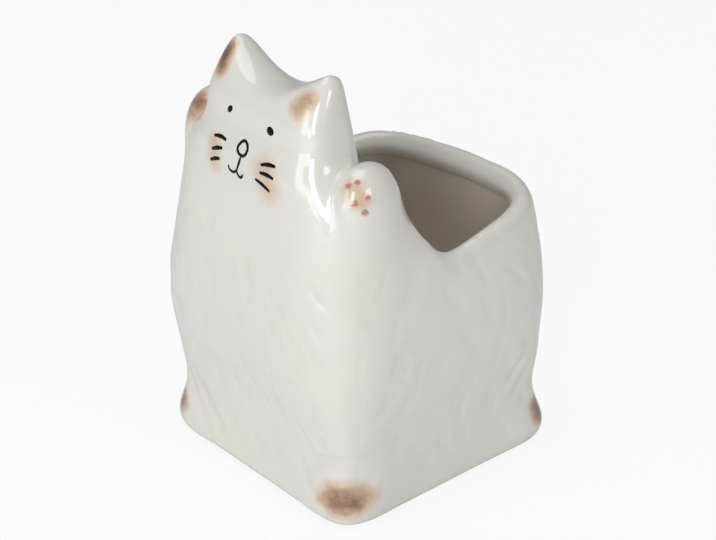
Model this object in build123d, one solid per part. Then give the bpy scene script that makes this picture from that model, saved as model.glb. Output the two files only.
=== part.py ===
from build123d import *
import math
import os

os.makedirs("parts", exist_ok=True)

# Body of the casting, in millimetres
BASE_WIDTH = 102.4
BASE_DEPTH = 103.0
BELLY_WIDTH = 109.6
FRONT_BULGE = 6.2
BACK_BULGE = 1.7
RIM_WIDTH = 100.2
RIM_HEIGHT = 94.5
BACK_ARCH = 6.8
FOOT_FLARE = 2.4

# Wall, floor and lip
WALL = 6.5
FLOOR = 7.0
LIP_LEDGE = 0.4

# Head and ears
HEAD_WIDTH = 60.0
HEAD_DEPTH = 27.0
FACE_SETBACK = 3.3
EAR_HEIGHT = 162.3
EAR_SPREAD = 48.0
VALLEY_DEPTH = 9.0

# Raised front paws
PAW_SPREAD = 80.5
PAW_SETBACK = 19.0
PAW_HEIGHT = 135.0
PAW_DEPTH = 28.0
PAW_WIDTH = 19.5
RIM_RUN = 30.0

# Underside, drain hole, stopper and pads
RECESS_DEPTH = 2.5
RECESS_MARGIN = 15.0
DRAIN_BORE = 12.0
PLUG_GAP = 0.08
PLUG_FLANGE = 18.0
PLUG_FLANGE_THICK = 1.6
PAD_DIAMETER = 12.0
PAD_THICK = 1.2
PAD_INSET = 12.0

# Where things fall out from the sizes above
FRONT = -BASE_DEPTH / 2
REAR = BASE_DEPTH / 2
BULGED_FRONT = FRONT - FRONT_BULGE
FACE = FRONT + FACE_SETBACK
NAPE = FACE + HEAD_DEPTH
HEAD_MIDDLE = (FACE + NAPE) / 2
HEAD_RISE = EAR_HEIGHT - RIM_HEIGHT
PAW_MIDDLE = FRONT + PAW_SETBACK
BRIDGE = RIM_HEIGHT + 10
LIP_ROUND = WALL / 2 - LIP_LEDGE
RING_TURNS = [90 * quarter + step for quarter in (1, 2, 3, 4) for step in (0, 18, 30, 38, 45, 52, 60, 72)]

# Body outline by height: level, width, front, middle, back, squareness, foot flare
PROFILE = (
    (0, BASE_WIDTH - 0.9, FRONT + 0.45, 0, REAR - 0.45, 8, 0.3),
    (0.03 * RIM_HEIGHT, BASE_WIDTH, FRONT, 0, REAR, 8, 0.6),
    (0.08 * RIM_HEIGHT, BASE_WIDTH - 1.6, FRONT + 0.9, 0, REAR - 0.9, 8, 1),
    (0.2 * RIM_HEIGHT, BASE_WIDTH - 3.4, FRONT + 1.2, 0, REAR - 2.2, 8, 0.25),
    (0.7 * RIM_HEIGHT, BELLY_WIDTH, BULGED_FRONT, 0, REAR + BACK_BULGE, 5.2, 0),
    (RIM_HEIGHT, RIM_WIDTH, BULGED_FRONT + 1, 0.15 * HEAD_MIDDLE, REAR + BACK_BULGE / 2, 4.8, 0),
    (RIM_HEIGHT + 0.35 * HEAD_RISE, 0.5 * HEAD_WIDTH + 0.55 * RIM_WIDTH, 0.4 * FACE + 0.6 * BULGED_FRONT,
     0.58 * HEAD_MIDDLE, REAR, 4.5, 0),
    (RIM_HEIGHT + 0.6 * HEAD_RISE, HEAD_WIDTH + 4.4, FACE - 2.4, 0.9 * HEAD_MIDDLE, REAR, 4.3, 0),
    (RIM_HEIGHT + 0.76 * HEAD_RISE, HEAD_WIDTH, FACE, HEAD_MIDDLE, REAR, 4.2, 0),
    (RIM_HEIGHT + 0.86 * HEAD_RISE, HEAD_WIDTH - 2.8, FACE + 3, HEAD_MIDDLE, REAR, 3.9, 0),
    (RIM_HEIGHT + 0.93 * HEAD_RISE, HEAD_WIDTH - 5.6, FACE + 7, HEAD_MIDDLE, REAR, 3.5, 0),
    (RIM_HEIGHT + 0.975 * HEAD_RISE, HEAD_WIDTH - 9, FACE + 9.5, HEAD_MIDDLE, REAR, 3.2, 0),
    (EAR_HEIGHT, HEAD_WIDTH - 17, FACE + 11, HEAD_MIDDLE, REAR, 3, 0),
)
LEVELS = [row[0] for row in PROFILE]

# Raised paw from low to high: share of its rise, outward, backward, share of width, share of depth
PAW_STACK = (
    (-0.45, -0.6, 6, 0.85, 1.2),
    (-0.1, 0.4, 5.5, 0.95, 1.36),
    (0.2, 0.3, 3.5, 1, 1.26),
    (0.45, 0, 1.6, 1, 1.1),
    (0.7, -0.1, 0.4, 0.91, 0.93),
    (0.87, -0.4, 0, 0.71, 0.73),
    (0.97, -0.8, 0, 0.4, 0.42),
)


def profile_at(column, level):
    """Height-wise curve through one column of the profile that never overshoots it."""
    values = [row[column] for row in PROFILE]
    spans = [b - a for a, b in zip(LEVELS, LEVELS[1:])]
    rates = [(b - a) / s for a, b, s in zip(values, values[1:], spans)]
    slopes = [rates[0]]
    for before, after in zip(rates, rates[1:]):
        slopes.append(0.0 if before * after <= 0 else 2 * before * after / (before + after))
    slopes.append(rates[-1])
    i = max(k for k in range(len(spans)) if level >= LEVELS[k] or k == 0)
    t = (level - LEVELS[i]) / spans[i]
    bend = spans[i] * (slopes[i] * t * (1 - t) ** 2 - slopes[i + 1] * t * t * (1 - t))
    return values[i] + (values[i + 1] - values[i]) * t * t * (3 - 2 * t) + bend


def squared_circle(turn, power):
    """Reach of a rounded square of unit half width in one direction."""
    return (abs(math.cos(turn)) ** power + abs(math.sin(turn)) ** power) ** (-1 / power)


def ring_marks():
    """Curve marks shared by every ring, so that lofted spans match."""
    spots = []
    for degrees in RING_TURNS + [RING_TURNS[0] + 360]:
        turn = math.radians(degrees)
        reach = squared_circle(turn, 6)
        spots.append((reach * math.cos(turn), reach * math.sin(turn)))
    marks = [0.0]
    for a, b in zip(spots, spots[1:]):
        marks.append(marks[-1] + math.dist(a, b))
    return marks


def ring(level, inset):
    """Horizontal outline of the body at one height, drawn in by an inset."""
    half = profile_at(1, level) / 2 - inset
    front = profile_at(2, level) + inset
    middle = profile_at(3, level)
    back = profile_at(4, level) - inset
    power = profile_at(5, level)
    flare = profile_at(6, level) * FOOT_FLARE / half
    points = []
    for degrees in RING_TURNS:
        turn = math.radians(degrees)
        reach = squared_circle(turn, power) * (1 + flare * abs(math.sin(2 * turn)) ** 6)
        depth = back - middle if math.sin(turn) > 0 else middle - front
        points.append((half * reach * math.cos(turn), middle + depth * reach * math.sin(turn), level))
    return Wire([Edge.make_spline(points, periodic=True, parameters=ring_marks())])


def ring_levels(lowest, highest):
    """Heights of the rings, about 12 apart, between two heights."""
    levels = [lowest]
    for low, high in zip(LEVELS, LEVELS[1:]):
        count = max(1, round((high - low) / 12))
        for k in range(count):
            level = low + (high - low) * k / count
            if lowest + 1 < level < highest - 1:
                levels.append(level)
    return levels + [highest]


def body_loft(lowest, highest, inset):
    return Solid.make_loft([ring(level, inset) for level in ring_levels(lowest, highest)])


def saddle_cutter():
    """Round spool above the crown; its waist leaves a rounded ridge between the ears."""
    half = EAR_SPREAD / 2
    radius = (half * half + VALLEY_DEPTH * VALLEY_DEPTH) / (2 * VALLEY_DEPTH)
    sag = 0.33 * HEAD_DEPTH
    ahead = 0.55 * HEAD_DEPTH
    behind = 0.38 * HEAD_DEPTH
    waist = Plane((0, radius + sag))
    profile = Wire([
        Edge.make_ellipse(behind, sag, waist, 270, 360),
        Edge.make_line((behind, radius + sag), (behind, 0)),
        Edge.make_line((behind, 0), (-ahead, 0)),
        Edge.make_line((-ahead, 0), (-ahead, radius + sag)),
        Edge.make_ellipse(ahead, sag, waist, 180, 270),
    ])
    spool = Rot(0, 0, 90) * revolve(Face(profile), Axis.X)
    return Pos(0, HEAD_MIDDLE - 0.5, EAR_HEIGHT - VALLEY_DEPTH + radius) * spool


def head_block(inset, low):
    """Tapered block kept out of the mouth cut; its back is the back of the head."""
    lean = 10
    grow = math.tan(math.radians(lean)) * (LEVELS[7] - low)
    half = profile_at(1, LEVELS[7]) / 2 + 1.2 + grow - inset
    back = NAPE - 2 + grow - inset
    plan = Pos(0, back - BASE_DEPTH) * RectangleRounded(2 * half, 2 * BASE_DEPTH, 0.55 * half)
    return Pos(0, 0, low) * extrude(plan, EAR_HEIGHT + 8 - low, taper=lean)


def rim_height(x, y):
    """Top of the rim: an S-curve down from the arms, then level, then arching up behind."""
    low_point = PAW_MIDDLE + RIM_RUN
    if y < low_point:
        t = (y - PAW_MIDDLE) / RIM_RUN
        return RIM_HEIGHT + 0.45 * (PAW_HEIGHT - RIM_HEIGHT) * (1 + math.cos(math.pi * t))
    arch = BACK_ARCH * (1 + 0.1 * (2 * x / RIM_WIDTH) ** 2)
    return RIM_HEIGHT + arch * ((y - low_point) / (REAR - low_point)) ** 1.7


def mouth_section(x):
    """Side view of the open space above the rim, from the arms to behind the pot."""
    far = 1.25 * REAR
    ys = [PAW_MIDDLE + RIM_RUN * t for t in (0, 0.25, 0.5, 0.75, 1)]
    ys += [ys[-1] + (far - ys[-1]) * t for t in (0.3, 0.65, 1)]
    rim = [(x, y, rim_height(x, y) - LIP_ROUND) for y in ys]
    roof = EAR_HEIGHT + 20
    corners = [rim[-1], (x, far, roof), (x, PAW_MIDDLE, roof), rim[0]]
    edges = [Edge.make_spline(rim)]
    edges += [Edge.make_line(a, b) for a, b in zip(corners, corners[1:])]
    return Wire(edges)


def mouth_cutter():
    """Everything above the rim except the head."""
    reach = BELLY_WIDTH / 2 + 5
    open_space = Solid.make_loft([mouth_section(x) for x in (-reach, 0, reach)])
    throat = Pos(0, NAPE + 20, BRIDGE - 2) * extrude(RectangleRounded(1.1 * HEAD_WIDTH, 50, 6), HEAD_RISE)
    return Part() + open_space + throat - head_block(0, BRIDGE - 20)


def wall_spot(turn, level):
    """Point in the middle of the wall in one direction from the ring's middle."""
    middle = profile_at(3, level)
    reach = squared_circle(turn, profile_at(5, level))
    depth = profile_at(4, level) - middle - WALL / 2
    x = (profile_at(1, level) - WALL) / 2 * reach * math.cos(turn)
    return x, middle + depth * reach * math.sin(turn)


def side_spot(y, level):
    """Half width to the middle of the side wall at one place along the side."""
    middle = profile_at(3, level)
    power = profile_at(5, level)
    along = (middle - y) / (middle - profile_at(2, level) - WALL / 2)
    if y > middle:
        along = (y - middle) / (profile_at(4, level) - WALL / 2 - middle)
    return (profile_at(1, level) - WALL) / 2 * (1 - along ** power) ** (1 / power)


def lip():
    """Full-round lip along the middle of the wall, from one arm round the back to the other."""
    half_path = []
    for t in (0.26, 0.45, 0.63, 0.81, 1):
        y = PAW_MIDDLE + t * RIM_RUN
        level = rim_height(0, y) - LIP_ROUND
        half_path.append((side_spot(y, level), y, level))
    for degrees in (18, 33, 45, 57, 73):
        level = RIM_HEIGHT
        for _ in range(4):
            x, y = wall_spot(math.radians(degrees), level)
            level = rim_height(x, y) - LIP_ROUND
        half_path.append((x, y, level))
    x, y = wall_spot(math.pi / 2, RIM_HEIGHT)
    path = half_path + [(0, y, rim_height(0, y) - LIP_ROUND)]
    path += [(-x, y, z) for x, y, z in reversed(half_path)]
    spine = Edge.make_spline(path)
    rounds = []
    for k in range(25):
        across = Plane(spine @ (k / 24), x_dir=(0, 0, 1), z_dir=spine % (k / 24))
        rounds.append(Wire.make_circle(LIP_ROUND, across))
    return Solid.make_loft(rounds)


def cavity():
    """Planting space with a rounded foot."""
    levels = ring_levels(FLOOR + 4, BRIDGE)
    return Solid.make_loft([ring(FLOOR, WALL + 4)] + [ring(level, WALL) for level in levels])


def head_hollow():
    """Hollow of the head, open downward into the planting space."""
    top = EAR_HEIGHT - VALLEY_DEPTH - 1.4 * WALL
    return Part() + body_loft(BRIDGE - 3, top, WALL + 1.2) & head_block(WALL, BRIDGE - 20)


def arm(side):
    """Raised paw: a stack of ellipses that leans back into the rim and sinks into the shoulder below."""
    rise = PAW_HEIGHT - RIM_HEIGHT
    middle = side * PAW_SPREAD / 2
    stack = []
    for height, out, back, wide, deep in PAW_STACK:
        plane = Plane((middle + side * out, PAW_MIDDLE + back, RIM_HEIGHT + height * rise))
        stack.append((plane * Ellipse(deep * PAW_DEPTH / 2, wide * PAW_WIDTH / 2, rotation=270)).wire())
    tip = Vertex(middle - side * 0.8, PAW_MIDDLE, PAW_HEIGHT)
    return Part() + Solid.make_loft(stack + [tip]) - body_loft(FLOOR + 4, BRIDGE, WALL - 0.7)


def underside():
    """Recess inside the standing ring and the drain hole through the floor."""
    width = BASE_WIDTH - 2 * RECESS_MARGIN
    depth = BASE_DEPTH - 2 * RECESS_MARGIN
    plan = RectangleRounded(width, depth, 0.8 * RECESS_MARGIN)
    bore = Pos(0, 0, FLOOR / 2) * Cylinder(DRAIN_BORE / 2, 2 * FLOOR)
    return extrude(plan, RECESS_DEPTH) + bore


def cat_pot():
    body = Part() + body_loft(0, EAR_HEIGHT, 0)
    shell = body - saddle_cutter() - mouth_cutter() - cavity() - head_hollow()
    shell += lip()
    for side in (-1, 1):
        shell += arm(side)
    shell -= underside()
    return shell


def drain_plug():
    """Soft stopper pushed up through the drain hole, with a grip bar under its flange."""
    shank = Pos(0, 0, RECESS_DEPTH) * Cylinder(
        DRAIN_BORE / 2 - PLUG_GAP, FLOOR - RECESS_DEPTH, align=(Align.CENTER, Align.CENTER, Align.MIN))
    nose = Pos(0, 0, FLOOR) * Cone(
        DRAIN_BORE / 2 - PLUG_GAP, 0.36 * DRAIN_BORE, 2.5, align=(Align.CENTER, Align.CENTER, Align.MIN))
    flange = Pos(0, 0, RECESS_DEPTH - PLUG_FLANGE_THICK) * Cylinder(
        PLUG_FLANGE / 2, PLUG_FLANGE_THICK, align=(Align.CENTER, Align.CENTER, Align.MIN))
    grip = Pos(0, 0, RECESS_DEPTH - PLUG_FLANGE_THICK) * Box(
        0.6 * PLUG_FLANGE, 0.17 * PLUG_FLANGE, 1.0, align=(Align.CENTER, Align.CENTER, Align.MAX))
    return shank + nose + flange + grip


def foot_pad(side, end):
    x = side * (BASE_WIDTH / 2 - PAD_INSET)
    y = end * (BASE_DEPTH / 2 - PAD_INSET)
    return Pos(x, y) * Cylinder(PAD_DIAMETER / 2, PAD_THICK, align=(Align.CENTER, Align.CENTER, Align.MAX))


# Bottom of the pads at zero height, middle of the footprint over the origin
PLACE = Pos(0, (FRONT_BULGE - BACK_BULGE) / 2, PAD_THICK)
PIECES = {
    "cat_pot": cat_pot(),
    "drain_plug": drain_plug(),
    "foot_pad_front_left": foot_pad(-1, -1),
    "foot_pad_front_right": foot_pad(1, -1),
    "foot_pad_rear_left": foot_pad(-1, 1),
    "foot_pad_rear_right": foot_pad(1, 1),
}
for name, piece in PIECES.items():
    placed = PLACE * piece
    export_step(placed, f"parts/{name}.step")
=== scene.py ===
"""Studio scene of a cat shaped ceramic planter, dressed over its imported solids."""

import logging
import math
from dataclasses import dataclass, field
from enum import Enum
from itertools import product

import bmesh
import bpy
import numpy as np
from bpy.types import Material, Mesh, Node, NodeSocket as Socket, Object, Scene
from mathutils import Matrix, Vector, noise
from mathutils.bvhtree import BVHTree


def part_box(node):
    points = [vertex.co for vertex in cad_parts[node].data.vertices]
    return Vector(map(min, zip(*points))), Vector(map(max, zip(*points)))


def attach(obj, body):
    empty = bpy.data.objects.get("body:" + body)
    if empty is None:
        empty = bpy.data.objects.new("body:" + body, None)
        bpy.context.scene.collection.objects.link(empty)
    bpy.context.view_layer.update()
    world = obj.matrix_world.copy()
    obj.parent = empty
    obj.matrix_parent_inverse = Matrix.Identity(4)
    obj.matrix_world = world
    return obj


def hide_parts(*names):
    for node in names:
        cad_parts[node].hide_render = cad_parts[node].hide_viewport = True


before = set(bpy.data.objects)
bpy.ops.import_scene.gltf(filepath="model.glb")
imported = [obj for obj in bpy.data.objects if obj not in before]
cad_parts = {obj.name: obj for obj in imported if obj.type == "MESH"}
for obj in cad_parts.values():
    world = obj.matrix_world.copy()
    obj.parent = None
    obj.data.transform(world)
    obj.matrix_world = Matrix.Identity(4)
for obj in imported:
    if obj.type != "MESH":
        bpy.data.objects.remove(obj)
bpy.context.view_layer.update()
MM = 0.001
Array = np.ndarray
Span = tuple[float, float]
Point = tuple[float, float, float]
Colour = tuple[float, float, float, float]
log = logging.getLogger("cat_planter")


class Mask(Enum):
    """Painted and fired zones that the casting carries as vertex attributes, along with painted shade in
    hollows and inside the pot.
    """

    SPONGE = "sponge"
    BLUSH = "blush"
    POOL = "pool"
    INSIDE = "inside"


class Wall(Enum):
    """Sides of the pot: how a step along the wall and a step out of it run in x and y."""

    FRONT = ((1, 0), (0, -1))
    RIGHT = ((0, 1), (1, 0))
    BACK = ((1, 0), (0, 1))
    LEFT = ((0, 1), (-1, 0))


def linear(red: int, green: int, blue: int) -> Colour:
    """Turns a display colour from 0 to 255 into the linear colour of a shader socket, by the sRGB curve."""
    channels = (red / 255, green / 255, blue / 255)
    return *(c / 12.92 if c <= 0.04045 else ((c + 0.055) / 1.055) ** 2.4 for c in channels), 1.0


def ramp(values: Array, low: float, high: float) -> Array:
    """Eases values from 0 at low to 1 at high."""
    t = np.clip((values - low) / (high - low), 0, 1)
    return t * t * (3 - 2 * t)


def swell(spots: Array, length_mm: float) -> Array:
    """Smooth noise at each point, from -1 to 1, whose waves have a given length."""
    return np.array([noise.noise(Vector(p) / length_mm) for p in spots])


def daub(away: Array, strength: float, fade: float) -> Array:
    """Paint of a soft mark, from full strength at its middle to none at a distance of 1."""
    return strength * (1 - np.clip(away, 0, 1) ** 2) ** fade


def nearest(spots: Array, path: Array) -> tuple[Array, Array]:
    """Distance from points to a path and how far along it they lie.

    Args:
        spots: Points, one row each.
        path: Corners of the path, one row each.

    Returns:
        Distances, and shares of the path's length from 0 to 1.
    """
    best, share = np.full(len(spots), np.inf), np.zeros(len(spots))
    count = len(path) - 1
    for k, (a, b) in enumerate(zip(path, path[1:])):
        run = b - a
        t = np.clip((spots - a) @ run / (run @ run), 0, 1)
        apart = np.linalg.norm(spots - a - t[:, None] * run, axis=1)
        closer = apart < best
        best[closer], share[closer] = apart[closer], (k + t[closer]) / count
    return best, share


@dataclass(frozen=True)
class Clouds:
    """Cloudy noise that runs between two values; scale is in clouds per metre.

    Detail and rough set the finer octaves, and spread is the range of raw noise that is used.
    """

    start: float
    end: float
    scale: float
    detail: float = 3.0
    rough: float = 0.5
    spread: Span = (0.3, 0.7)


class Recipe:
    """A material being mixed: its node tree, Principled shader and surface position."""

    # Numbers of the Mix node's colour sockets: its two inputs and its output.
    UNDER, OVER, MIXED = 6, 7, 2

    def __init__(self, name: str) -> None:
        """Starts a material with a Principled shader wired to its output.

        Args:
            name: Name of the material.
        """
        self.material = bpy.data.materials.new(name)
        self.material.use_nodes = True
        self.tree = self.material.node_tree
        self.shader = self.tree.nodes["Principled BSDF"]
        self.position = self.node("ShaderNodeTexCoord").outputs["Object"]

    def node(self, kind: str, links: dict | None = None, values: dict | None = None,
             **settings: object) -> Node:
        """Adds one node.

        Args:
            kind: Blender's name of the node type.
            links: Input name or number to the output socket that feeds it.
            values: Input name or number to a constant.
            **settings: Properties of the node itself.

        Returns:
            The new node.
        """
        made = self.tree.nodes.new(kind)
        for name, value in settings.items():
            setattr(made, name, value)
        for key, value in (values or {}).items():
            made.inputs[key].default_value = value
        for key, source in (links or {}).items():
            self.tree.links.new(source, made.inputs[key])
        return made

    def feed(self, source: Socket, socket: str) -> None:
        """Wires a socket into the Principled shader."""
        self.tree.links.new(source, self.shader.inputs[socket])

    def mottle(self, scale: float, detail: float = 3.0, rough: float = 0.5) -> Socket:
        """Cloudy noise over the surface, with scale in clouds per metre."""
        values = {"Scale": scale, "Detail": detail, "Roughness": rough}
        return self.node("ShaderNodeTexNoise", {"Vector": self.position}, values).outputs["Fac"]

    def vary(self, clouds: Clouds) -> Socket:
        """Cloudy noise that runs between two values."""
        raw = self.mottle(clouds.scale, clouds.detail, clouds.rough)
        return self.stretch(raw, *clouds.spread, clouds.start, clouds.end)

    def stretch(self, value: Socket, low: float, high: float, start: float, end: float,
                smooth: bool = False) -> Socket:
        """Maps a value from one range to another, held at both ends.

        Args:
            value: Socket to map.
            low: Value that gives start.
            high: Value that gives end.
            start: Result at low.
            end: Result at high.
            smooth: Eases in and out between the ends.

        Returns:
            The mapped socket.
        """
        kind = "SMOOTHSTEP" if smooth else "LINEAR"
        values = {"From Min": low, "From Max": high, "To Min": start, "To Max": end}
        mapped = self.node("ShaderNodeMapRange", {"Value": value}, values, interpolation_type=kind)
        return mapped.outputs["Result"]

    def maths(self, kind: str, first: Socket, second: Socket) -> Socket:
        """One arithmetic step, by Blender's name of the operation."""
        return self.node("ShaderNodeMath", {0: first, 1: second}, operation=kind).outputs[0]

    def layer(self, under: Socket | Colour, over: Socket | Colour, share: Socket) -> Socket:
        """Lays one colour over another.

        Args:
            under: Colour or socket below.
            over: Colour or socket above.
            share: Socket that says how far the upper colour covers.

        Returns:
            The mixed colour socket.
        """
        links, values = {"Factor": share}, {}
        for key, colour in ((self.UNDER, under), (self.OVER, over)):
            if isinstance(colour, tuple):
                values[key] = colour
            else:
                links[key] = colour
        return self.node("ShaderNodeMix", links, values, data_type="RGBA").outputs[self.MIXED]

    def paint(self, mask: Mask) -> Socket:
        """Reads one of the casting's attribute masks."""
        return self.node("ShaderNodeAttribute", attribute_name=mask.value).outputs["Fac"]

    def ripple(self, height: Socket, depth: float) -> None:
        """Bumps the surface by a height from 0 to 1, as deep as depth in metres."""
        bump = self.node("ShaderNodeBump", {"Height": height}, {"Distance": depth, "Strength": 1.0})
        self.feed(bump.outputs["Normal"], "Normal")


@dataclass(frozen=True)
class Wash:
    """One brown of the sponge marks, from the load of paint where it starts to where it covers."""

    colour: Colour
    low: float
    high: float
    cover: float


@dataclass(frozen=True)
class GlazeFinish:
    """Clear gloss glaze over ivory clay with airbrushed browns, blush and pink toe marks."""

    ivory: Colour = linear(225, 223, 213)
    cool_ivory: Colour = linear(221, 221, 214)
    ivory_drift: Clouds = Clouds(0.0, 1.0, 28.0, spread=(0.35, 0.65))
    # Pooled glaze, also painted shade: hollows and creases are darkened.
    pooled_and_shaded: Colour = linear(205, 197, 180)
    pool_and_shade_start: float = 0.1
    pool_and_shade_cover: float = 0.25
    # Painted shade of the pot's inside: darker and warmer than the ivory.
    inner: Colour = linear(219, 210, 196)
    peach: Colour = linear(208, 168, 128)
    blush_drift: Clouds = Clouds(0.75, 1.0, 300.0)
    browns: tuple[Wash, ...] = (
        Wash(linear(214, 190, 164), 0.04, 0.42, 0.9),
        Wash(linear(178, 143, 115), 0.34, 0.76, 0.9),
        Wash(linear(134, 100, 78), 0.68, 1.05, 0.9),
        Wash(linear(78, 57, 47), 0.98, 1.4, 0.85),
    )
    brown_grain: Clouds = Clouds(0.82, 1.18, 420.0, 5.0, 0.7)
    brown_drift: Clouds = Clouds(0.88, 1.12, 130.0, 2.0)
    toe_pink: Colour = linear(182, 112, 103)
    toe_spots_mm: tuple = (
        (41.7, -39.2, 132.0, 1.25),
        (43.3, -36.8, 133.0, 1.15),
        (46.9, -35.4, 128.5, 1.1),
        (45.0, -39.7, 126.8, 1.3),
        (47.5, -37.2, 123.6, 1.35),
    )
    toe_core: float = 0.45
    toe_edge: float = 1.25
    toe_cover: float = 0.9
    toe_wobble: Clouds = Clouds(-0.0004, 0.0004, 900.0)
    roughness: Clouds = Clouds(0.16, 0.28, 60.0, 2.0)
    ior: float = 1.52
    coat_roughness: float = 0.03
    coat_ior: float = 1.5
    ripple_scale: float = 45.0
    ripple_detail: float = 1.0
    ripple_mm: float = 0.1

    def mix(self) -> Material:
        """Builds the glaze.

        Returns:
            The material.
        """
        r = Recipe("pot_glaze")
        tone = r.layer(self.ivory, self.cool_ivory, r.vary(self.ivory_drift))
        # Pooled glaze and painted shade: hollows darkened by how deep they lie.
        pooling_and_shade = r.stretch(r.paint(Mask.POOL), self.pool_and_shade_start, 1.0, 0.0, self.pool_and_shade_cover)
        tone = r.layer(tone, self.pooled_and_shaded, pooling_and_shade)
        # Painted shade inside the pot.
        tone = r.layer(tone, self.inner, r.paint(Mask.INSIDE))
        blush = r.maths("MULTIPLY", r.paint(Mask.BLUSH), r.vary(self.blush_drift))
        tone = r.layer(tone, self.peach, blush)
        load = r.maths("MULTIPLY", r.paint(Mask.SPONGE), r.vary(self.brown_grain))
        load = r.maths("MULTIPLY", load, r.vary(self.brown_drift))
        for wash in self.browns:
            tone = r.layer(tone, wash.colour, r.stretch(load, wash.low, wash.high, 0.0, wash.cover, True))
        tone = r.layer(tone, self.toe_pink, self.toes(r))
        r.feed(tone, "Base Color")
        r.feed(r.vary(self.roughness), "Roughness")
        r.shader.inputs["IOR"].default_value = self.ior
        r.shader.inputs["Coat Weight"].default_value = 1.0
        r.shader.inputs["Coat Roughness"].default_value = self.coat_roughness
        r.shader.inputs["Coat IOR"].default_value = self.coat_ior
        r.ripple(r.mottle(self.ripple_scale, self.ripple_detail), self.ripple_mm * MM)
        return r.material

    def toes(self, r: Recipe) -> Socket:
        """Pink toe marks, the same on both paws.

        Args:
            r: Material being mixed.

        Returns:
            Cover of the toe marks.
        """
        parts = r.node("ShaderNodeSeparateXYZ", {0: r.position}).outputs
        across = r.node("ShaderNodeMath", {0: parts["X"]}, operation="ABSOLUTE").outputs[0]
        place = r.node("ShaderNodeCombineXYZ", {"X": across, "Y": parts["Y"], "Z": parts["Z"]}).outputs[0]
        wobble = r.vary(self.toe_wobble)
        cover = None
        for x, y, z, size in self.toe_spots_mm:
            centre = (x * MM, y * MM, z * MM)
            apart = r.node("ShaderNodeVectorMath", {0: place}, {1: centre}, operation="DISTANCE")
            edge = r.maths("ADD", apart.outputs["Value"], wobble)
            core, rim = self.toe_core * size * MM, self.toe_edge * size * MM
            spot = r.stretch(edge, core, rim, self.toe_cover, 0.0, True)
            cover = spot if cover is None else r.maths("MAXIMUM", cover, spot)
        return cover


@dataclass(frozen=True)
class BrushLineFinish:
    """Black-brown line paint, thinner in places and with little shine."""

    ink: Colour = linear(18, 13, 11)
    thin_ink: Colour = linear(38, 28, 23)
    thinning: Clouds = Clouds(0.0, 1.0, 500.0, spread=(0.45, 0.7))
    roughness: Clouds = Clouds(0.2, 0.35, 700.0)
    specular: float = 0.12
    ripple_scale: float = 900.0
    ripple_mm: float = 0.03

    def mix(self) -> Material:
        """Builds the line paint.

        Returns:
            The material.
        """
        r = Recipe("brush_line")
        r.feed(r.layer(self.ink, self.thin_ink, r.vary(self.thinning)), "Base Color")
        r.feed(r.vary(self.roughness), "Roughness")
        r.shader.inputs["Specular IOR Level"].default_value = self.specular
        r.ripple(r.mottle(self.ripple_scale), self.ripple_mm * MM)
        return r.material


@dataclass(frozen=True)
class RubberFinish:
    """Matt moulded rubber or foam with a fine grain."""

    name: str
    light: Colour
    dark: Colour
    grain_scale: float = 1800.0
    grain_detail: float = 4.0
    grain_mm: float = 0.06
    drift: Clouds = Clouds(0.0, 1.0, 160.0)
    roughness: Span = (0.55, 0.8)

    def mix(self) -> Material:
        """Builds the rubber.

        Returns:
            The material.
        """
        r = Recipe(self.name)
        r.feed(r.layer(self.dark, self.light, r.vary(self.drift)), "Base Color")
        r.feed(r.vary(Clouds(*self.roughness, self.grain_scale)), "Roughness")
        r.ripple(r.mottle(self.grain_scale, self.grain_detail), self.grain_mm * MM)
        return r.material


def show(name: str, mesh: Mesh, material: Material) -> Object:
    """Puts a finished mesh in the scene with smooth shading.

    Args:
        name: Name of the piece.
        mesh: Its mesh, already in place.
        material: Its finish.

    Returns:
        The new object.
    """
    mesh.materials.clear()
    mesh.materials.append(material)
    mesh.shade_smooth()
    piece = bpy.data.objects.new(name, mesh)
    bpy.context.scene.collection.objects.link(piece)
    log.info("%s: %d faces", name, len(mesh.polygons))
    return piece


def settle(bm: bmesh.types.BMesh, name: str) -> Mesh:
    """Turns a bmesh into a mesh.

    Args:
        bm: Shape, freed here.
        name: Name of the mesh.

    Returns:
        The mesh.
    """
    mesh = bpy.data.meshes.new(name)
    bm.to_mesh(mesh)
    bm.free()
    return mesh


def baked(maker: Object) -> Mesh:
    """Takes the finished mesh of a scratch object and removes the object.

    Args:
        maker: Object whose modifier or curve makes the mesh.

    Returns:
        The mesh.
    """
    bpy.context.scene.collection.objects.link(maker)
    mesh = bpy.data.meshes.new_from_object(maker.evaluated_get(bpy.context.evaluated_depsgraph_get()))
    bpy.data.objects.remove(maker)
    return mesh


def round_edges(bm: bmesh.types.BMesh, edges: list[bmesh.types.BMEdge], width_mm: float) -> None:
    """Rounds edges with a bevel of three segments."""
    bmesh.ops.bevel(bm, geom=edges, offset=width_mm * MM, offset_type="OFFSET", affect="EDGES",
                    segments=3, profile=0.5, material=-1)


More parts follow.
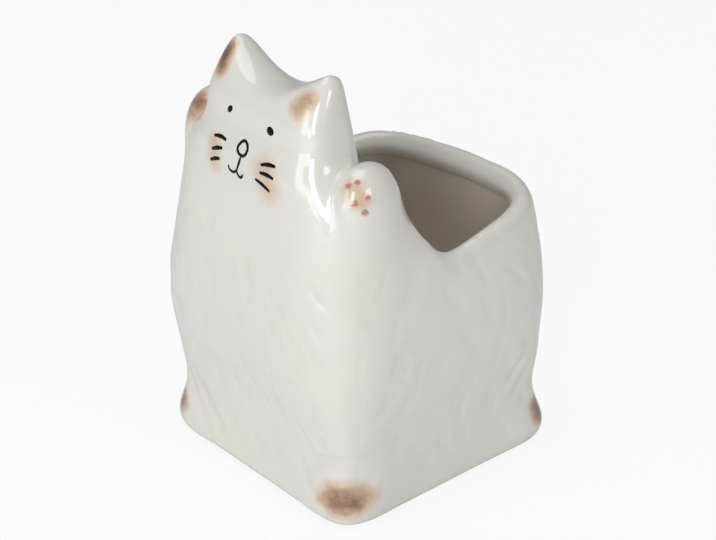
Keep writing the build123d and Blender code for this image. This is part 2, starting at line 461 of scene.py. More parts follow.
class Skin:
    """Mesh of the casting held as arrays, so that whole zones move together; lengths in millimetres."""

    # Smoothing rounds and depth scale of the pooled glaze and painted shade in hollows.
    POOL_AND_SHADE_ROUNDS = 4
    POOL_AND_SHADE_DEPTH_MM = 0.07

    def __init__(self, mesh: Mesh) -> None:
        """Reads the mesh.

        Args:
            mesh: Even mesh of the casting.
        """
        self.mesh = mesh
        self.spots = self.read(mesh.vertices, "co") / MM
        ends = np.zeros(len(mesh.edges) * 2, np.int32)
        mesh.edges.foreach_get("vertices", ends)
        self.starts, self.stops = ends.reshape(-1, 2).T
        self.links = np.bincount(ends, minlength=len(self.spots))

    @staticmethod
    def read(source: bpy.types.bpy_prop_collection, name: str) -> Array:
        """Reads one three-part property of a mesh's elements.

        Args:
            source: Elements of the mesh.
            name: Name of the property.

        Returns:
            One row for each element.
        """
        values = np.zeros((len(source), 3), np.float32)
        source.foreach_get(name, values.ravel())
        return values.astype(float)

    def normals(self) -> Array:
        """Writes the moved places back and reads the unit normals that follow.

        Returns:
            One normal for each vertex.
        """
        self.mesh.vertices.foreach_set("co", (self.spots * MM).astype(np.float32).ravel())
        self.mesh.update()
        return self.read(self.mesh.vertex_normals, "vector")

    def outward(self) -> Array:
        """How far each vertex faces away from the pot's upright axis.

        Returns:
            One value from -1 to 1 for each vertex.
        """
        plan = self.spots * (1, 1, 0)
        reach = np.maximum(np.linalg.norm(plan, axis=1), 1e-6)
        return (self.normals() * plan).sum(1) / reach

    def around(self, values: Array) -> Array:
        """Mean over each vertex's neighbours.

        Args:
            values: One value for each vertex.

        Returns:
            The neighbours' mean for each vertex.
        """
        count = len(self.links)
        ahead = np.bincount(self.starts, values[self.stops], count)
        behind = np.bincount(self.stops, values[self.starts], count)
        return (ahead + behind) / self.links

    def pull(self) -> Array:
        """Way from each vertex to the middle of its neighbours, one row each."""
        return np.stack([self.around(self.spots[:, k]) for k in range(3)], 1) - self.spots

    def relax(self, share: Array, rounds: int = 1) -> None:
        """Draws vertices toward their neighbours by a share in each round, or away where it is below 0."""
        for _ in range(rounds):
            self.spots += share[:, None] * self.pull()

    def hollowness(self) -> Array:
        """How deep each vertex lies between its neighbours, where glaze pools and where shade is painted.

        Returns:
            Pooling from 0 to 1 for each vertex.
        """
        normals = self.normals()
        depth = (self.pull() * normals).sum(1)
        for _ in range(self.POOL_AND_SHADE_ROUNDS):
            depth = 0.5 * depth + 0.5 * self.around(depth)
        return np.clip(depth / self.POOL_AND_SHADE_DEPTH_MM, 0, 1)

    def write(self, mask: Mask, values: Array) -> None:
        """Stores one mask on the mesh."""
        layer = self.mesh.attributes.new(mask.value, "FLOAT", "POINT")
        layer.data.foreach_set("value", values.astype(np.float32))


@dataclass(frozen=True)
class Zone:
    """A part of the casting, the same on both sides; each edge eases over a range of millimetres.

    Out is from the middle plane, up is height and back is from front to back; None sets no limit.
    """

    out_from: Span | None = None
    out_to: Span | None = None
    up_from: Span | None = None
    up_to: Span | None = None
    back_from: Span | None = None
    back_to: Span | None = None

    def share(self, spots: Array) -> Array:
        """How far each point lies in the zone.

        Args:
            spots: Points, one row each.

        Returns:
            Shares from 0 to 1.
        """
        x, y, z = np.abs(spots[:, 0]), spots[:, 1], spots[:, 2]
        limits = ((x, self.out_from, self.out_to), (z, self.up_from, self.up_to),
                  (y, self.back_from, self.back_to))
        cover = np.ones(len(spots))
        for values, begin, end in limits:
            if begin:
                cover = cover * ramp(values, *begin)
            if end:
                cover = cover * (1 - ramp(values, *end))
        return cover


@dataclass
class Rim:
    """The pot's lip: it climbs to the paws in front and arches gently behind."""

    height_mm: float = 95.7
    low_y_mm: float = -0.25
    climb_run_mm: float = 30.0
    climb_mm: float = 36.45
    arch_mm: float = 6.8
    arch_run_mm: float = 54.0
    arch_limit: float = 1.2
    arch_power: float = 1.7
    corner_gain: float = 0.1
    corner_x_mm: float = 50.1
    bead_mm: float = 0.9
    bead_place: float = 0.55
    bead_width_mm: float = 2.4
    drop_mm: float = 9.0
    undercut_mm: float = 1.7
    undercut_ease_mm: float = 0.9
    inward: Span = (0.1, 0.5)
    behind_paws_mm: Span = (-26, -18)
    side_mm: Span = (30, 36)
    rear_mm: Span = (0, 8)

    def below(self, spots: Array) -> Array:
        """Drop from the rim's top to each point, by its place along the rim.

        Args:
            spots: Points, one row each.

        Returns:
            Millimetres below the rim, less than 0 above it.
        """
        x, y, z = spots.T
        t = np.clip((y - self.low_y_mm) / self.climb_run_mm, -1, 0)
        climb = self.climb_mm / 2 * (1 - np.cos(np.pi * t))
        back = np.clip((y - self.low_y_mm) / self.arch_run_mm, 0, self.arch_limit) ** self.arch_power
        arch = self.arch_mm * (1 + self.corner_gain * (x / self.corner_x_mm) ** 2) * back
        return self.height_mm + climb + arch - z

    def roll(self, skin: Skin) -> None:
        """Rolls the inner edge of the lip into a bead with the wall set back below it.

        Args:
            skin: Skin to shape in place.
        """
        drop = self.below(skin.spots)
        x, y = np.abs(skin.spots[:, 0]), skin.spots[:, 1]
        inside = ramp(-skin.outward(), *self.inward) * ramp(y, *self.behind_paws_mm)
        inside *= np.maximum(ramp(x, *self.side_mm), ramp(y, *self.rear_mm))
        middle, ease = self.bead_place * self.drop_mm, self.undercut_ease_mm
        bead = self.bead_mm * np.exp(-(((drop - middle) / self.bead_width_mm) ** 2))
        undercut = self.undercut_mm * ramp(drop, self.drop_mm - ease, self.drop_mm + ease)
        skin.spots += skin.normals() * (inside * (bead - undercut))[:, None]


@dataclass
class Softening:
    """Rounds creases as slip and glaze do, most at the ears and where paws run into the sides."""

    pull: float = 0.5
    push: float = -0.52
    all_rounds: int = 5
    ear_rounds: int = 18
    shoulder_rounds: int = 80
    nape_rounds: int = 30
    dip_rounds: int = 40
    blend_rounds: int = 60
    ears: Zone = Zone(up_from=(146, 153))
    shoulder: Zone = Zone(out_from=(28, 36), up_from=(74, 86), up_to=(108, 122), back_to=(0, 12))
    shoulder_outward: Span = (-0.1, 0.3)
    shoulder_drop_mm: Span = (2, 7)
    seam: Zone = Zone(out_from=(36, 41), up_from=(98, 104), up_to=(124, 130),
                      back_from=(-34, -28), back_to=(-10, -4))
    brow: Zone = Zone(out_to=(34, 38), up_from=(112, 120), up_to=(148, 153), back_to=(-34, -28))
    nape: Zone = Zone(out_from=(20, 26), up_from=(92, 100), up_to=(126, 132),
                      back_from=(-44, -38), back_to=(-14, -8))
    nape_outward: Span = (0.0, 0.35)
    dip: Zone = Zone(out_from=(38, 42), up_from=(98, 106), up_to=(118, 126),
                     back_from=(-30, -22), back_to=(-14, -6))
    ear_tips: Zone = Zone(up_from=(149, 160))
    ear_lift_mm: float = 1.2

    def apply(self, skin: Skin, rim: Rim) -> None:
        """Softens the skin in place.

        Args:
            skin: Skin to soften.
            rim: The pot's lip, which the smoothing of the shoulders stays below.
        """
        skin.relax(np.full(len(skin.spots), self.pull), self.all_rounds)
        skin.relax(self.pull * self.ears.share(skin.spots), self.ear_rounds)
        shoulder = self.shoulder.share(skin.spots)
        below_lip = ramp(rim.below(skin.spots), *self.shoulder_drop_mm)
        shoulder *= ramp(skin.outward(), *self.shoulder_outward) * below_lip
        skin.relax(self.pull * shoulder, self.shoulder_rounds)
        blend = np.maximum(self.seam.share(skin.spots), self.brow.share(skin.spots))
        inner = 1 - ramp(skin.outward(), *self.nape_outward)
        width = skin.spots[:, :1].copy()
        skin.relax(self.pull * self.nape.share(skin.spots) * inner, self.nape_rounds)
        # The dip is placed by the width from before the nape moved.
        dip = self.dip.share(np.hstack([width, skin.spots[:, 1:]]))
        skin.relax(self.pull * dip, self.dip_rounds)
        for _ in range(self.blend_rounds):
            skin.relax(self.pull * blend)
            skin.relax(self.push * blend)
        skin.spots[:, 2] += self.ear_lift_mm * self.ear_tips.share(skin.spots)


@dataclass
class HandShape:
    """Small unevenness of the casting: a higher paw, and a rim that falls to one side behind."""

    left_rim_mm: float = -3.6
    left_rim_x_mm: Span = (-8, 36)
    right_rim_mm: float = 0.9
    right_rim_x_mm: Span = (0, 30)
    rim_y_mm: Span = (0, 34)
    rim_z_mm: Span = (50, 92)
    left_paw_mm: float = 2.4
    paw_x_mm: Span = (30, 37)
    paw_y_mm: Span = (-22, -12)
    paw_z_mm: Span = (104, 132)

    def apply(self, skin: Skin) -> None:
        """Moves the rim and the paw up or down.

        Args:
            skin: Skin to shape in place.
        """
        x, y, z = skin.spots.T
        tilt = self.left_rim_mm * ramp(-x, *self.left_rim_x_mm)
        tilt += self.right_rim_mm * ramp(x, *self.right_rim_x_mm)
        rim = tilt * ramp(y, *self.rim_y_mm) * ramp(z, *self.rim_z_mm)
        paw = self.left_paw_mm * ramp(-x, *self.paw_x_mm) * ramp(z, *self.paw_z_mm)
        paw *= 1 - ramp(y, *self.paw_y_mm)
        skin.spots[:, 2] += rim + paw


@dataclass
class FurRelief:
    """Hair strokes in loose tufts, folds that wrap the feet and a slight waviness, all in the clay."""

    seed: int = 7
    tuft_spacing_mm: float = 13.0
    tufts_across_mm: Span = (-42, 43)
    tufts_up_mm: Span = (24, 104)
    scatter_mm: float = 5.0
    fan: float = 0.5
    fan_half_width_mm: float = 45.0
    lean: float = 0.5
    curl: float = 0.9
    length_mm: Span = (9, 19)
    strands: tuple[int, int] = (1, 4)
    strand_aside_mm: float = 2.4
    strand_below_mm: float = 1.2
    points: int = 7
    wall_mm: float = 52.0
    groove_depth_mm: float = 0.24
    groove_width_mm: float = 1.35
    deepest: float = 3.0
    fold_depth: float = 3.0
    fold_width: float = 1.2
    reach_widths: float = 3.0
    margin_mm: float = 6.0
    facing: float = 0.3
    tip: float = 0.02
    taper: float = 0.6
    wave_mm: float = 0.08
    wave_length_mm: float = 15.0
    wave_end_mm: Span = (100, 125)

    def stroke_paths(self) -> list[Array]:
        """Draws the strokes of every tuft on the four walls.

        Returns:
            One array of points for each stroke, in millimetres.
        """
        chance = np.random.default_rng(self.seed)
        across = np.arange(*self.tufts_across_mm, self.tuft_spacing_mm)
        levels = np.arange(*self.tufts_up_mm, self.tuft_spacing_mm)
        paths = []
        for wall, side, level in product(Wall, across, levels):
            paths += self.tuft(chance, wall, side, level)
        return paths

    def tuft(self, chance: np.random.Generator, wall: Wall, side: float, level: float) -> list[Array]:
        """Draws one tuft of curved strokes that lie side by side.

        Args:
            chance: Source of random draws.
            wall: Wall that the tuft lies on.
            side: Place along the wall, before scatter.
            level: Height, before scatter.

        Returns:
            One array of points for each stroke, in millimetres.
        """
        side = side + chance.uniform(-self.scatter_mm, self.scatter_mm)
        level = level + chance.uniform(-self.scatter_mm, self.scatter_mm)
        lean = self.fan * side / self.fan_half_width_mm + chance.uniform(-self.lean, self.lean)
        curl = chance.uniform(-self.curl, self.curl)
        length = chance.uniform(*self.length_mm)
        heading = lean + curl * (np.linspace(0, 1, self.points) - 0.5)
        along, out = wall.value
        strokes = []
        for strand in range(chance.integers(*self.strands)):
            start = side + self.strand_aside_mm * strand
            top = level - self.strand_below_mm * strand
            run = start + np.cumsum(np.sin(heading)) * length / self.points
            drop = top - np.cumsum(np.cos(heading)) * length / self.points
            x = run * along[0] + self.wall_mm * out[0]
            y = run * along[1] + self.wall_mm * out[1]
            strokes.append(np.stack([x, y, drop], 1))
        return strokes

    def fold_paths(self) -> list[Array]:
        """Longer folds that wrap the feet.

        Returns:
            One array of points for each fold, in millimetres.
        """
        front = [
            ((-41, -52, 34), (-37.8, -52, 27), (-30, -52, 18), (-20.4, -52, 5.7)),
            ((-38, -52, 30), (-32, -52, 23), (-25, -52, 14), (-17, -52, 6)),
            ((-44, -51, 30), (-40, -52, 22), (-34, -52, 14), (-28, -52, 6)),
            ((36, -52, 21), (41, -50, 23.2), (46, -46, 24), (51, -41, 22)),
            ((33, -52, 17), (38, -51, 25), (45, -48, 28), (52, -42, 27)),
            ((28, -52, 22), (31, -52, 15), (35, -52, 9)),
        ]
        side = [
            ((52, 40, 47), (51, 34, 38), (50.4, 29, 30)),
            ((52, 44, 38), (51, 38, 30), (50.4, 33, 24)),
        ]
        other_side = [[(-x, y, z) for x, y, z in path] for path in side]
        return [np.array(path, float) for path in front + side + other_side]

    def press(self, skin: Skin) -> None:
        """Presses the strokes and folds into the skin and leaves it slightly wavy.

        Args:
            skin: Skin to press.
        """
        spots, normals = skin.spots, skin.normals()
        grooves = [(path, 1.0, 1.0) for path in self.stroke_paths()]
        grooves += [(path, self.fold_depth, self.fold_width) for path in self.fold_paths()]
        dent = np.zeros(len(spots))
        for path, deep, wide in grooves:
            width = self.groove_width_mm * wide
            reach = self.reach_widths * width + self.margin_mm
            near = np.all((spots > path.min(0) - reach) & (spots < path.max(0) + reach), axis=1)
            near = np.where(near)[0]
            facing = path.mean(0) * (1, 1, 0)
            facing = facing / np.linalg.norm(facing)
            outer = near[normals[near] @ facing > self.facing]
            flat = np.eye(3) - np.outer(facing, facing)
            apart, along = nearest(spots[outer] @ flat, path @ flat)
            ends = np.sin(np.pi * np.clip(along, self.tip, 1 - self.tip)) ** self.taper
            dent[outer] += deep * ends * np.exp(-((apart / width) ** 2))
        wave = swell(spots, self.wave_length_mm) * (1 - ramp(spots[:, 2], *self.wave_end_mm))
        lift = self.wave_mm * wave - self.groove_depth_mm * np.clip(dent, 0, self.deepest)
        skin.spots += normals * lift[:, None]


@dataclass(frozen=True)
class Patch:
    """A soft round mark along a short path, strongest on the path; lengths in millimetres."""

    path: tuple
    radius: float
    strength: float
    fade: float = 2.0

    def cover(self, spots: Array, drift: Array) -> Array:
        """Paint that the mark leaves at each point; drift makes its edge uneven."""
        apart, _ = nearest(spots, np.array(self.path))
        return daub(apart / self.radius + drift, self.strength, self.fade)


@dataclass(frozen=True)
class FootPatch:
    """An oval mark that wraps one foot, around the middle of the foot's turn; lengths in millimetres."""

    middle: Point
    size: Span
    strength: float
    turn: float = 13.0
    fade: float = 1.5

    def cover(self, spots: Array, drift: Array) -> Array:
        """Paint that the mark leaves.

        Args:
            spots: Points, one row each.
            drift: Unevenness of the mark's edge for each point.

        Returns:
            Load of paint for each point.
        """
        x, y, level = self.middle
        wide, tall = self.size
        heading = np.arctan2(spots[:, 1] - y, spots[:, 0] - x)
        away = heading - math.atan2(math.copysign(1, y), math.copysign(1, x))
        arc = self.turn * np.abs((away + math.pi) % math.tau - math.pi)
        share = np.hypot(arc / wide, (spots[:, 2] - level) / tall)
        return daub(share + drift, self.strength, self.fade)


@dataclass
class Paintwork:
    """Brown marks, blush, pooled glaze with painted shade in hollows, and painted shade inside the pot,
    stored on the skin as masks.
    """

    browns: tuple[Patch, ...] = (
        Patch(((-22.2, -42.2, 155.4), (-24.2, -37.8, 160.2)), 6.8, 1.2),
        Patch(((20.4, -42.6, 153.6), (22.0, -40.2, 156.4)), 6.6, 0.66),
        Patch(((-38.0, -39.5, 136.5), (-42.5, -37.5, 125.0)), 7.0, 1.05),
        Patch(((43.2, -39.0, 131.6), (45.4, -37.6, 128.2)), 8.0, 0.45),
    )
    feet: tuple[FootPatch, ...] = (
        FootPatch((38.4, -37.8, 12.4), (18.0, 9.2), 1.02),
        FootPatch((-39.2, -37.3, 12.4), (12.5, 8.6), 1.35),
        FootPatch((39.2, 41.7, 12.4), (12.5, 8.6), 1.55),
        FootPatch((-39.2, 41.7, 12.4), (12.5, 8.6), 1.3),
    )
    feet_outward: Span = (0.0, 0.3)
    blushes: tuple[Patch, ...] = (
        Patch(((-15.5, -50.5, 130.0), (-15.0, -51.0, 124.5)), 6.0, 0.75),
        Patch(((11.5, -51.0, 129.5), (14.0, -51.0, 125.0)), 8.5, 0.8),
    )
    drift: float = 0.12
    drift_length_mm: float = 5.0
    inward: Span = (-0.2, 0.2)
    past_lip_mm: Span = (-1, 3)
    floor_mm: Span = (6, 9)

    def apply(self, skin: Skin, rim: Rim) -> None:
        """Writes the brown and blush masks, the pooled glaze and painted shade of hollows, and the painted
        shade inside the pot.

        Args:
            skin: Skin to paint.
            rim: The pot's lip, below which the inside begins.
        """
        # Hollow depth for the pooled glaze and painted shade.
        pooling_and_shade = skin.hollowness()
        spots, outward = skin.spots, skin.outward()
        drift = self.drift * swell(spots, self.drift_length_mm)
        marks = [patch.cover(spots, drift) for patch in self.browns]
        on_feet = ramp(outward, *self.feet_outward)
        marks += [on_feet * patch.cover(spots, drift) for patch in self.feet]
        skin.write(Mask.SPONGE, np.max(marks, axis=0))
        skin.write(Mask.BLUSH, np.max([patch.cover(spots, drift) for patch in self.blushes], axis=0))
        skin.write(Mask.POOL, pooling_and_shade)
        # Painted shade inside the pot: inward faces below the lip, fading out near the bottom.
        start, end = (rim.drop_mm + past for past in self.past_lip_mm)
        inside = ramp(-outward, *self.inward) * ramp(rim.below(spots), start, end)
        skin.write(Mask.INSIDE, inside * ramp(spots[:, 2], *self.floor_mm))


@dataclass
class CatCasting:
    """The ceramic casting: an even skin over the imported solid, softened, shaped, pressed and painted."""

    voxel_mm: float = 1.18
    weld_mm: float = 0.02
    rim: Rim = field(default_factory=Rim)
    softening: Softening = field(default_factory=Softening)
    hand_shape: HandShape = field(default_factory=HandShape)
    fur: FurRelief = field(default_factory=FurRelief)
    paintwork: Paintwork = field(default_factory=Paintwork)
    body: str = "pot"
    node: str = "cat_pot"

    def build(self) -> Object:
        """Makes the skin.

        Returns:
            The finished piece.
        """
        skin = Skin(self.remeshed())
        self.softening.apply(skin, self.rim)
        self.rim.roll(skin)
        self.hand_shape.apply(skin)
        self.fur.press(skin)
        self.paintwork.apply(skin, self.rim)
        piece = show("cat_pot_skin", skin.mesh, GlazeFinish().mix())
        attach(piece, self.body)
        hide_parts(self.node)
        return piece

    def remeshed(self) -> Mesh:
        """Copies the solid's mesh and lays an even skin of small faces over it.

        Returns:
            The even mesh.
        """
        bm = bmesh.new()
        bm.from_mesh(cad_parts[self.node].data)
        bmesh.ops.remove_doubles(bm, verts=bm.verts, dist=self.weld_mm * MM)
        blank = bpy.data.objects.new("casting_blank", settle(bm, "casting_blank"))
        even = blank.modifiers.new("even_skin", "REMESH")
        even.mode = "VOXEL"
        even.voxel_size = self.voxel_mm * MM
        return baked(blank)


@dataclass
class FaceMarks:
    """Hand-brushed eyes, nose, mouth and whiskers on the front of the head."""

    line_mm: float = 0.82
    whisker_mm: float = 1.1
    sunk_share: float = 0.66
    tip_share: float = 0.85
    belly_gain: float = 0.3
    dab_spread: float = 1.08
    dab_thick_mm: float = 0.5
    dab_sunk_mm: float = 0.22
    front_m: float = -0.2
    eyes_mm: dict = field(default_factory=lambda: {
        "eye_right": ((-11.4, 143.6), (1.1, 1.65), -42.0),
        "eye_left": ((10.3, 142.9), (1.85, 1.6), 0.0),
    })
    lines_mm: dict = field(default_factory=lambda: {
        "mouth_drop": ((-0.6, 131.2), (-1.3, 128.6), (-2.5, 125.4)),
        "mouth_right": ((-7.1, 125.6), (-6.7, 124.5), (-5.8, 124.0), (-4.3, 123.9), (-3.2, 124.6),
                        (-2.5, 125.4)),
        "mouth_left": ((-2.5, 125.4), (-2.4, 124.5), (-1.9, 123.8), (-0.7, 123.2), (0.2, 123.7),
                       (0.6, 124.8)),
        "whisker_right_upper": ((-16.5, 133.0), (-13.2, 133.6), (-10.0, 133.4)),
        "whisker_right_middle": ((-16.4, 128.3), (-13.6, 129.6), (-10.8, 130.4)),
        "whisker_right_lower": ((-17.2, 123.9), (-14.5, 125.3), (-12.0, 126.2)),
        "whisker_left_upper": ((9.7, 131.5), (13.0, 132.5), (16.4, 132.9)),
        "whisker_left_middle": ((9.8, 128.8), (13.2, 129.2), (16.7, 128.9)),
        "whisker_left_lower": ((7.6, 125.6), (11.2, 124.9), (15.0, 123.6)),
    })
    nose_mm: tuple = ((-1.2, 135.9), (-2.7, 134.7), (-3.4, 133.0), (-2.6, 131.8), (-0.8, 131.2),
                      (0.7, 131.6), (1.4, 132.9), (1.2, 134.4), (0.2, 135.5))
    body: str = "pot"
    surface: BVHTree | None = field(default=None, init=False)

    def build(self, skin: Object) -> None:
        """Brushes every mark onto the skin.

        Args:
            skin: The casting's finished piece.
        """
        self.surface = BVHTree.FromObject(skin, bpy.context.evaluated_depsgraph_get())
        ink = BrushLineFinish().mix()
        pieces = [show(name, self.dab(name, *spec), ink) for name, spec in self.eyes_mm.items()]
        pieces += [show(name, self.line(name, path, False), ink) for name, path in self.lines_mm.items()]
        pieces.append(show("nose_line", self.line("nose_line", self.nose_mm, True), ink))
        for piece in pieces:
            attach(piece, self.body)

    def touch(self, x: float, z: float) -> tuple[Vector, Vector]:
        """Meets the face from the front, at millimetres across and up; gives the point and its normal."""
        start = Vector((x * MM, self.front_m, z * MM))
        return self.surface.ray_cast(start, Vector((0, 1, 0)))[:2]

    def line(self, name: str, path: tuple, closed: bool) -> Mesh:
        """A brush line: a low bead, fuller in its middle and mostly sunk in the skin.

        Args:
            name: Name of the mesh.
            path: Points of the line, across and up, in millimetres.
            closed: Whether the line joins up.

        Returns:
            The bead.
        """
        radius = self.whisker_mm if name.startswith("whisker") else self.line_mm
        curve = bpy.data.curves.new(name, "CURVE")
        curve.dimensions = "3D"
        curve.bevel_depth = radius * MM
        curve.bevel_resolution = 3
        curve.resolution_u = 8
        curve.use_fill_caps = True
        spline = curve.splines.new("BEZIER")
        last = len(path) - 1
        spline.bezier_points.add(last)
        spline.use_cyclic_u = closed
        for k, (point, (x, z)) in enumerate(zip(spline.bezier_points, path)):
            spot, normal = self.touch(x, z)
            point.co = spot - normal * (self.sunk_share * radius * MM)
            point.handle_left_type = point.handle_right_type = "AUTO"
            from_end = min(k, last - k) / last
            point.radius = 1.0 if closed else self.tip_share + self.belly_gain * from_end
        mesh = baked(bpy.data.objects.new(name, curve))
        mesh.name = name
        return mesh

    def dab(self, name: str, place: tuple, radii: tuple, tilt_deg: float) -> Mesh:
        """An oval dab of paint.

        Args:
            name: Name of the mesh.
            place: Middle of the dab, across and up, in millimetres.
            radii: Half width and half height in millimetres.
            tilt_deg: Turn of the oval on the face.

        Returns:
            The dab.
        """
        spot, normal = self.touch(*place)
        across = normal.cross(Vector((0, 0, -1))).normalized()
        turn = Matrix((across, normal.cross(across), normal)).transposed().to_4x4()
        tilt = Matrix.Rotation(math.radians(tilt_deg), 4, "Z")
        wide, tall = (radius * MM * self.dab_spread for radius in radii)
        size = Matrix.Diagonal((wide, tall, self.dab_thick_mm * MM, 1))
        sunk = Matrix.Translation(spot - normal * self.dab_sunk_mm * MM)
        bm = bmesh.new()
        bmesh.ops.create_uvsphere(bm, u_segments=32, v_segments=20, radius=1.0,
                                  matrix=sunk @ turn @ tilt @ size)
        return settle(bm, name)


@dataclass
class DrainStopper:
    """Rubber stopper: a turned shank and flange with a grip bar below; shares are of the flange's radius."""

    shank_share: float = 0.658
    nose_share: float = 0.48
    nose_mm: float = 2.5
    flange_mm: float = 1.6
    grip_mm: float = 1.0
    grip_long_share: float = 1.2
    grip_wide_share: float = 0.34
    grip_overlap_mm: float = 0.2
    turn_steps: int = 64
    weld_mm: float = 0.01
    edge_mm: float = 0.35
    edge_angle: float = 0.5
    body: str = "plug"
    node: str = "drain_plug"

    def build(self) -> None:
        """Turns the stopper and adds its grip."""
        low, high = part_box(self.node)
        middle = (low + high) / 2
        flange = (high.x - low.x) / 2
        bm = bmesh.new()
        self.turned(bm, middle, flange, low.z, high.z)
        overlap = self.grip_overlap_mm * MM
        grip = self.grip_mm * MM
        place = Matrix.Translation((middle.x, middle.y, low.z + grip / 2 + overlap / 2))
        bar = (self.grip_long_share * flange, self.grip_wide_share * flange, grip + overlap, 1)
        bmesh.ops.create_cube(bm, size=1.0, matrix=place @ Matrix.Diagonal(bar))
        bmesh.ops.recalc_face_normals(bm, faces=bm.faces)
        joined = [e for e in bm.edges if len(e.link_faces) == 2]
        round_edges(bm, [e for e in joined if e.calc_face_angle() > self.edge_angle], self.edge_mm)
        finish = RubberFinish("stopper_rubber", linear(92, 88, 84), linear(62, 60, 58))
        piece = show("drain_stopper", settle(bm, "drain_stopper"), finish.mix())
        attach(piece, self.body)
        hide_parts(self.node)

    def turned(self, bm: bmesh.types.BMesh, middle: Vector, flange: float, low: float, high: float) -> None:
        """Turns the flange and the shank with its tapered nose.

        Args:
            bm: Shape to add to.
            middle: Point on the stopper's axis.
            flange: Radius of the flange.
            low: Height of the grip's lower face.
            high: Height of the nose.
        """
        shank, nose = flange * self.shank_share, flange * self.nose_share
        skirt = low + self.grip_mm * MM
        seat = skirt + self.flange_mm * MM
        profile = ((0, skirt), (flange, skirt), (flange, seat), (shank, seat),
                   (shank, high - self.nose_mm * MM), (nose, high), (0, high))
        verts = [bm.verts.new((middle.x + r, middle.y, z)) for r, z in profile]
        edges = [bm.edges.new(pair) for pair in zip(verts, verts[1:])]
        bmesh.ops.spin(bm, geom=verts + edges, cent=(middle.x, middle.y, 0), axis=(0, 0, 1), angle=math.tau,
                       steps=self.turn_steps, use_merge=True)
        bmesh.ops.remove_doubles(bm, verts=bm.verts, dist=self.weld_mm * MM)


@dataclass
class FootPads:
    """Four thin stick-on pads under the standing ring."""

    edge_mm: float = 0.4
    sides: int = 48
    lower_mm: float = 0.1
    body: str = "pot"
    nodes: tuple[str, ...] = ("foot_pad_front_left", "foot_pad_front_right",
                              "foot_pad_rear_left", "foot_pad_rear_right")

    def build(self) -> None:
        """Makes every pad."""
        finish = RubberFinish("pad_foam", linear(176, 171, 160), linear(150, 145, 136), 2600.0).mix()
        for node in self.nodes:
            self.pad(node, finish)

    def pad(self, node: str, finish: Material) -> None:
        """Makes one pad with a softened lower edge.

        Args:
            node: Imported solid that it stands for.
            finish: Its material.
        """
        low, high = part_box(node)
        radius = (high.x - low.x) / 2
        bm = bmesh.new()
        bmesh.ops.create_cone(bm, cap_ends=True, segments=self.sides, radius1=radius, radius2=radius,
                              depth=high.z - low.z, matrix=Matrix.Translation((low + high) / 2))
        lower = low.z + self.lower_mm * MM
        round_edges(bm, [e for e in bm.edges if all(v.co.z < lower for v in e.verts)], self.edge_mm)
        piece = show(node + "_pad", settle(bm, node), finish)
        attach(piece, self.body)
        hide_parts(node)


@dataclass(frozen=True)
class SoftBox:
    """A lamp: where it hangs and its width and height in metres, and its power in watts."""

    name: str
    place: Point
    size: Span
    watts: float


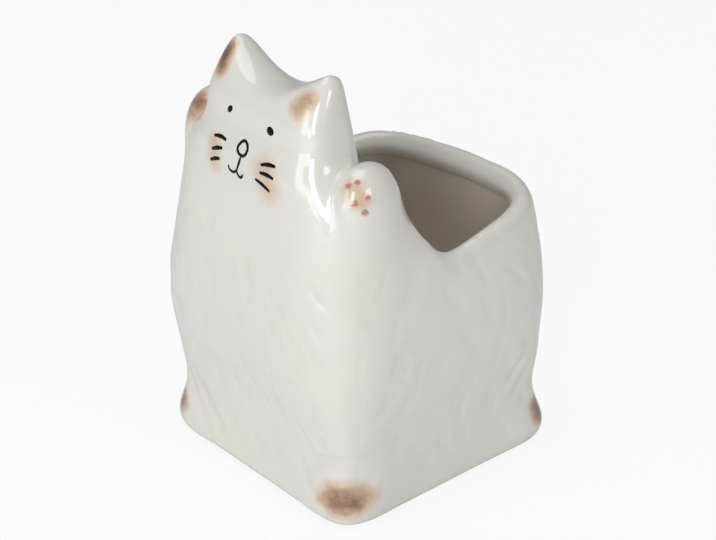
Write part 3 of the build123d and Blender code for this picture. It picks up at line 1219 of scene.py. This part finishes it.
@dataclass
class Studio:
    """Pale floor, soft boxes, sky and camera."""

    boxes: tuple[SoftBox, ...] = (
        SoftBox("key_box", (0.80, -1.10, 0.55), (0.35, 0.7), 5.4),
        SoftBox("low_box", (0.42, -1.30, 0.27), (0.44, 0.46), 1.8),
        SoftBox("front_box", (-0.02, -1.35, 0.42), (0.4, 0.76), 2.5),
        SoftBox("side_box", (1.3, 0.05, 0.62), (0.36, 0.36), 1.8),
        SoftBox("top_box", (-0.1, -0.1, 1.5), (1.2, 1.2), 7.2),
    )
    aim_m: Point = (0, 0, 0.08)
    floor_m: float = 6.0
    floor_grey: float = 0.9
    floor_roughness: float = 0.9
    floor_glow: float = 0.88
    sky_glow: float = 0.31
    eye_mm: Point = (530.3, -461.9, 455.9)
    turn_deg: float = 48.87
    drop_deg: float = 28.82
    focal_px: float = 2200.0
    image_px: int = 716
    sensor_mm: float = 36.0
    clip_m: Span = (0.01, 50.0)

    def build(self) -> None:
        """Sets up everything around the planter."""
        scene = bpy.context.scene
        scene.view_settings.view_transform = "Standard"
        self.floor()
        self.sky(scene)
        for box in self.boxes:
            self.hang(box, scene)
        self.camera(scene)

    def floor(self) -> None:
        """Lays the pale floor that keeps the planter's soft shadow and is clear from below."""
        bm = bmesh.new()
        bmesh.ops.create_grid(bm, x_segments=2, y_segments=2, size=self.floor_m / 2)
        r = Recipe("studio_floor")
        r.shader.inputs["Base Color"].default_value = (self.floor_grey, self.floor_grey, self.floor_grey, 1)
        r.shader.inputs["Roughness"].default_value = self.floor_roughness
        seen = r.node("ShaderNodeLightPath").outputs["Is Camera Ray"]
        white = r.node("ShaderNodeEmission", values={"Color": (1, 1, 1, 1), "Strength": 1.0}).outputs[0]
        share = r.node("ShaderNodeMath", {0: seen}, {1: self.floor_glow}, operation="MULTIPLY").outputs[0]
        mixed = r.node("ShaderNodeMixShader", {0: share, 1: r.shader.outputs[0], 2: white}).outputs[0]
        below = r.node("ShaderNodeNewGeometry").outputs["Backfacing"]
        clear = r.node("ShaderNodeBsdfTransparent").outputs[0]
        mixed = r.node("ShaderNodeMixShader", {0: below, 1: mixed, 2: clear}).outputs[0]
        r.tree.links.new(mixed, r.tree.nodes["Material Output"].inputs["Surface"])
        floor = show("studio_floor", settle(bm, "studio_floor"), r.material)

    def sky(self, scene: Scene) -> None:
        """Even pale light from all round, plain white behind the floor.

        Args:
            scene: Scene to light.
        """
        world = bpy.data.worlds.new("studio_sky")
        scene.world = world
        world.use_nodes = True
        nodes, links = world.node_tree.nodes, world.node_tree.links
        glow = nodes["Background"]
        glow.inputs["Color"].default_value = (1, 1, 1, 1)
        glow.inputs["Strength"].default_value = self.sky_glow
        plain = nodes.new("ShaderNodeBackground")
        plain.inputs["Strength"].default_value = 1.0
        paths = nodes.new("ShaderNodeLightPath")
        mixed = nodes.new("ShaderNodeMixShader")
        links.new(paths.outputs["Is Camera Ray"], mixed.inputs[0])
        links.new(glow.outputs[0], mixed.inputs[1])
        links.new(plain.outputs[0], mixed.inputs[2])
        links.new(mixed.outputs[0], nodes["World Output"].inputs["Surface"])

    def hang(self, box: SoftBox, scene: Scene) -> None:
        """Hangs one soft box that faces the planter.

        Args:
            box: Lamp to hang.
            scene: Scene to light.
        """
        lamp = bpy.data.lights.new(box.name, "AREA")
        lamp.shape = "RECTANGLE"
        lamp.size, lamp.size_y = box.size
        lamp.energy = box.watts
        stand = bpy.data.objects.new(box.name, lamp)
        stand.location = box.place
        aim = Vector(self.aim_m) - Vector(box.place)
        stand.rotation_euler = aim.to_track_quat("-Z", "Y").to_euler()
        scene.collection.objects.link(stand)

    def camera(self, scene: Scene) -> None:
        """Stands the camera at the photographed angle.

        Args:
            scene: Scene that takes the camera.
        """
        turn, drop = math.radians(self.turn_deg), math.radians(self.drop_deg)
        right = Vector((math.cos(turn), math.sin(turn), 0))
        back = Vector((math.sin(turn) * math.cos(drop), -math.cos(turn) * math.cos(drop), math.sin(drop)))
        lens = bpy.data.cameras.new("studio_camera")
        lens.sensor_width = self.sensor_mm
        lens.lens = self.focal_px / self.image_px * lens.sensor_width
        lens.clip_start, lens.clip_end = self.clip_m
        eye = bpy.data.objects.new("studio_camera", lens)
        stance = Matrix((right, back.cross(right), back)).transposed().to_4x4()
        eye.matrix_world = Matrix.Translation(Vector(self.eye_mm) * MM) @ stance
        scene.collection.objects.link(eye)
        scene.camera = eye


def main() -> None:
    """Builds the planter and its studio."""
    logging.basicConfig(level=logging.INFO, format="%(message)s")
    skin = CatCasting().build()
    FaceMarks().build(skin)
    DrainStopper().build()
    FootPads().build()
    Studio().build()


if __name__ == "__main__":
    main()
